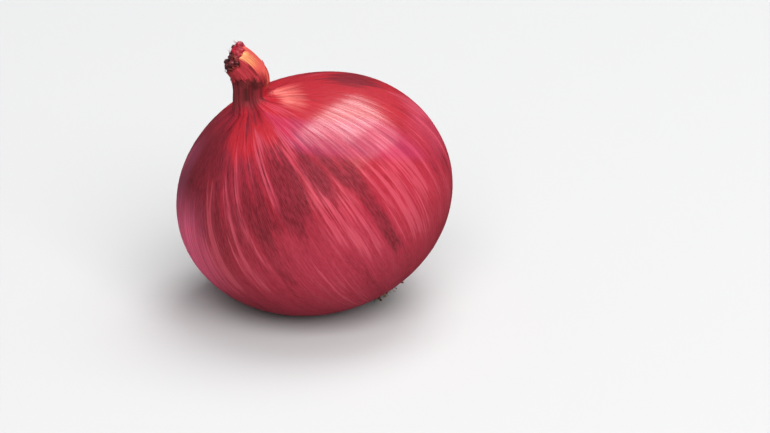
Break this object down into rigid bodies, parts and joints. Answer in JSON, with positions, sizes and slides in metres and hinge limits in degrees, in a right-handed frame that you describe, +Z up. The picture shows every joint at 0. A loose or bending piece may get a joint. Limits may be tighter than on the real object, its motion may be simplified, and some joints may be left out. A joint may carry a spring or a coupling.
{
  "type": "onion",
  "caption": "Whole red onion lying on its lower shoulder: a squat round bulb in glossy dry skin, with a bent, torn-off neck and a tuft of dried roots.",
  "frame": {"origin": "centre of the small flat on the underside of the bulb, which is the spot it lies on", "axes": "+Z up from the surface it lies on; the neck leans towards -X and a little towards -Y, and the roots point down towards +X; the pictured side faces -Y"},
  "size_m": [0.0835, 0.0836, 0.084],
  "materials": {
    "skin": "thin dry crimson skin with darker maroon streaks and a silky gloss",
    "dried_root": "dull, dry and corky, with brown root fibres"
  },
  "bodies": {
    "root": {"bulb": "skin", "roots": "dried_root"}
  },
  "joints": []
}
